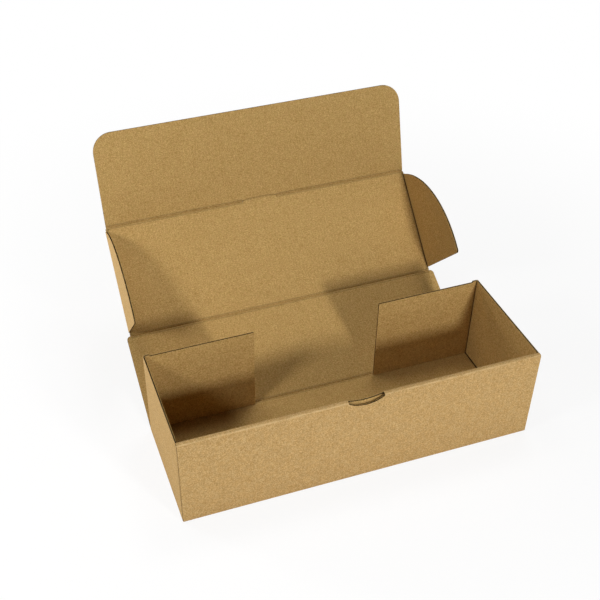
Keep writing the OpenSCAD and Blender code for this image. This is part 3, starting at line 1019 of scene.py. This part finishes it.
def front_blank(name, across):
    """Blank of the front wall: outer layer, band and inner layer, from the base's edge to the tabs' ends."""
    in_notch = np.abs(across) < NOTCH_HALF
    foot = np.linspace(0, outer_foot, FOLD_STEPS + 1)
    outer_edge = outer_top - np.where(in_notch, notch(across, NOTCH_OUTER), 0)
    inner_edge = inner_top + np.where(in_notch, notch(across, NOTCH_INNER), 0)
    on_tab = np.abs(np.abs(across) - LOCK_X) < LOCK_HALF
    roll = [*np.linspace(outer_top, band_start, FOLD_STEPS + 1), 0.5 * (band_start + band_end),
            *np.linspace(band_end, inner_top, FOLD_STEPS + 1)]
    above = [outer_edge - stop for stop in RAMP_STOPS[:0:-1]]
    below = [inner_edge + stop for stop in RAMP_STOPS[1:]]
    rows = rows_at(across, *foot, *(outer_foot + RAMP_STOPS[1:]), *above, outer_edge, *roll[1:-1], inner_edge,
                   *below, inner_end, np.where(on_tab, tab_end, inner_end + STEP))
    fold_spans = ((0, outer_foot), (outer_top, band_start), (band_end, inner_top))
    crush = grooved(*(np.maximum(0, np.maximum(low - rows, rows - high)) for low, high in fold_spans))
    columns = 0.5 * (across[1:] + across[:-1])
    keep = every_face(across, rows)
    edge = len(foot) + 2 * len(above)
    last = edge + len(roll) - 1
    keep[np.abs(columns) < NOTCH_HALF, edge:last] = False
    keep[np.abs(columns) > INNER_X, last:] = False
    keep[np.abs(np.abs(columns) - LOCK_X) > LOCK_HALF, -1] = False
    wear_and_highlight = np.exp(-((rows - 0.5 * (outer_top + band_start)) / EDGE_WEAR_HIGHLIGHT) ** 2)
    place, look = on_line(front_line, rows)
    points = in_space(place, Y, Z) + across[:, None, None] * np.array(X)
    return blank_mesh(name, across, rows, crush, points, in_space(look, Y, Z), keep, wear_and_highlight=wear_and_highlight)


tab_stops = np.concatenate([side * LOCK_X + end * LOCK_HALF + np.array([-STEP, STEP])
                            for side in (-1, 1) for end in (-1, 1)])
notch_stops = np.linspace(-NOTCH_HALF + STEP, NOTCH_HALF - STEP, NOTCH_STEPS)
front_across = stations(-raw_x, raw_x, notch_stops, -NOTCH_HALF - STEP, NOTCH_HALF + STEP, tab_stops,
                        -INNER_X, INNER_X)
front = board("front_wall_board", front_blank, front_across)

# %% The front dust flaps
FRONT_DUST_FOOT = 1.5 * MM           # height of their lower edge
FRONT_DUST_TOP = 87.2 * MM           # height of their upper edge, inside the roll
FRONT_DUST_END = 58 * MM             # from the middle of the box to their free edge


def front_dust_blank(side):
    """Function that makes the blank of the left (-1) or right (1) front dust flap."""
    corners = [(side * END_MID, DUST_MID + FOLD_R), (side * END_MID, DUST_MID),
               (side * FRONT_DUST_END, DUST_MID)]
    dust_line = folded(corners, FOLD_R, -side)

    def blank(name, across):
        arc_rows = np.linspace(0, quarter, FOLD_STEPS + 1)
        rows = rows_at(across, *arc_rows, *(quarter + RAMP_STOPS[1:]), dust_line.length[-1])
        place, look = on_line(dust_line, rows)
        points = in_space(place, X, Y) + across[:, None, None] * np.array(Z)
        crush = grooved(np.maximum(rows - quarter, 0))
        return blank_mesh(name, across, rows, crush, points, in_space(look, X, Y))
    return blank


front_dust_across = stations(FRONT_DUST_FOOT, FRONT_DUST_TOP)
front_dusts = [board(f"{word}_front_dust_flap", front_dust_blank(side), front_dust_across)
               for side, word in SIDES]
for piece in (base, front, *front_dusts):
    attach(piece, "tray")
    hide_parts("tray")

# %% [markdown]
# ## Floor, light and camera
#
# All pieces share the same paper materials, because they are one kind of board. The box stands on a plain
# white floor. Paper under lamps would look grey, so the floor glows for the rays that look at it, and more so
# further away, while the rays that carry light see plain paper. The box's shadow stays on it. Two small
# lamps make the two shadows inside the box, and four wide ones fill them. Azimuth and elevation place each
# lamp on a ball round the box, which is easier to set than three coordinates.

# %% The floor
def from_outside(tree):
    """1 for rays that look at the scene and for mirror images, and 0 for rays that carry light."""
    path = add(tree, "ShaderNodeLightPath")
    mirrored = calc(tree, "MAXIMUM", path.outputs["Is Glossy Ray"], path.outputs["Is Transmission Ray"])
    return calc(tree, "MAXIMUM", path.outputs["Is Camera Ray"], mirrored)


FLOOR_GLOW = 0.85         # share of the floor's white near the box that doesn't depend on the lamps
GLOW_NEAR = 0.20          # near is up to this distance in metres from the frame's origin
GLOW_FAR = 0.70           # and from here on the floor glows fully, as white as the world behind it
FLOOR_HALF = 6.0          # half the floor's width in metres
FLOOR_DROP = 0.05 * MM    # room below the base, so that the two faces don't share a plane
FLOOR_CLOUD = 0.4         # size in metres of its faint clouds
FLOOR_TONE = 0.985        # and their darkest tone


def floor_material():
    """White to the camera, with the object's shadow still on it."""
    material = bpy.data.materials.new("studio_floor")
    material.use_nodes = True
    tree = material.node_tree
    tree.nodes.clear()
    place = add(tree, "ShaderNodeTexCoord").outputs["Object"]
    soft = noise(tree, place, FLOOR_CLOUD, detail=1.0)
    tone = stepped(tree, soft, 0.3, 0.7, FLOOR_TONE, 1.0)
    colour = add(tree, "ShaderNodeCombineColor", {"Red": tone, "Green": tone, "Blue": tone}).outputs[0]
    paper = add(tree, "ShaderNodeBsdfDiffuse", {"Color": colour})
    glow = add(tree, "ShaderNodeEmission", {"Color": (1, 1, 1, 1), "Strength": 1.0})
    away = add(tree, "ShaderNodeVectorMath", {0: place}, operation="LENGTH").outputs["Value"]
    glowing = stepped(tree, away, GLOW_NEAR, GLOW_FAR, FLOOR_GLOW, 1.0)
    share = calc(tree, "MULTIPLY", from_outside(tree), glowing)
    both = add(tree, "ShaderNodeMixShader", {0: share, 1: paper.outputs[0], 2: glow.outputs[0]})
    tree.links.new(both.outputs[0], add(tree, "ShaderNodeOutputMaterial").inputs["Surface"])
    return material


edit = bmesh.new()
bmesh.ops.create_grid(edit, x_segments=1, y_segments=1, size=FLOOR_HALF)
sheet = bpy.data.meshes.new("studio_floor")
edit.to_mesh(sheet)
edit.free()
floor = bpy.data.objects.new("studio_floor", sheet)
bpy.context.scene.collection.objects.link(floor)
floor.location.z = -FLOOR_DROP
sheet.materials.append(floor_material())

# %% World and lamps
FILL = 0.02               # strength of the world's own light
LOOKED_AT = Vector((0, 0.05, 0.06))   # the lamps look at this point, in the middle of the open box
# Name, azimuth, elevation, distance and size in metres, and power in watts.
LAMPS = (
    ("key_left", -68, 36.7, 0.75, 0.12, 1.68),
    ("key_right", 15, 23.8, 1.1, 0.12, 5.1),
    ("low_front", 10, 12, 1.6, 0.5, 4.1),
    ("low_left", -125, 8, 0.9, 0.2, 3.6),
    ("top_right", 135, 70, 1.6, 0.5, 6.0),
    ("top_left", 225, 70, 1.6, 0.5, 3.3),
)
world = bpy.data.worlds.new("studio")
bpy.context.scene.world = world
world.use_nodes = True
tree = world.node_tree
tree.nodes.clear()
white = add(tree, "ShaderNodeBackground", {"Color": (1, 1, 1, 1), "Strength": 1.0})
fill = add(tree, "ShaderNodeBackground", {"Color": (1.0, 0.99, 0.97, 1), "Strength": FILL})
both = add(tree, "ShaderNodeMixShader", {0: from_outside(tree), 1: fill.outputs[0], 2: white.outputs[0]})
tree.links.new(both.outputs[0], add(tree, "ShaderNodeOutputWorld").inputs["Surface"])


def softbox(name, azimuth, elevation, distance, size, power):
    """Square lamp that looks at the box. Azimuth 0 is in front, 90 on the right."""
    lamp = bpy.data.lights.new(name, "AREA")
    lamp.size = size
    lamp.energy = power
    made = bpy.data.objects.new(name, lamp)
    bpy.context.scene.collection.objects.link(made)
    a, e = radians(azimuth), radians(elevation)
    away = Vector((sin(a) * cos(e), -cos(a) * cos(e), sin(e)))
    made.location = LOOKED_AT + distance * away
    made.rotation_mode = "QUATERNION"
    made.rotation_quaternion = away.to_track_quat("Z", "Y")
    made.visible_camera = False
    return made


for lamp in LAMPS:
    softbox(*lamp)
print(len(LAMPS), "lamps")

# %% Camera
# The place, the two directions and the lens come from fitting a camera to the box's corners in the photo.
CAMERA_AT = Vector((-253.609, -560.721, 638.213)) * MM
LOOK = Vector((0.23130503, 0.74064995, -0.6308214))
UP = Vector((0.20984781, 0.59515961, 0.77572478))
camera_data = bpy.data.cameras.new("camera")
camera_data.sensor_width = 36
camera_data.lens = 59.7
camera_data.shift_x = 0.0858
camera_data.shift_y = 0.0113
camera_data.clip_start = 0.01
camera = bpy.data.objects.new("camera", camera_data)
bpy.context.scene.collection.objects.link(camera)
right = LOOK.cross(UP).normalized()
turn = Matrix((right, UP.normalized(), -LOOK.normalized())).transposed().to_4x4()
camera.matrix_world = Matrix.Translation(CAMERA_AT) @ turn
bpy.context.scene.camera = camera
bpy.context.scene.view_settings.view_transform = "Standard"
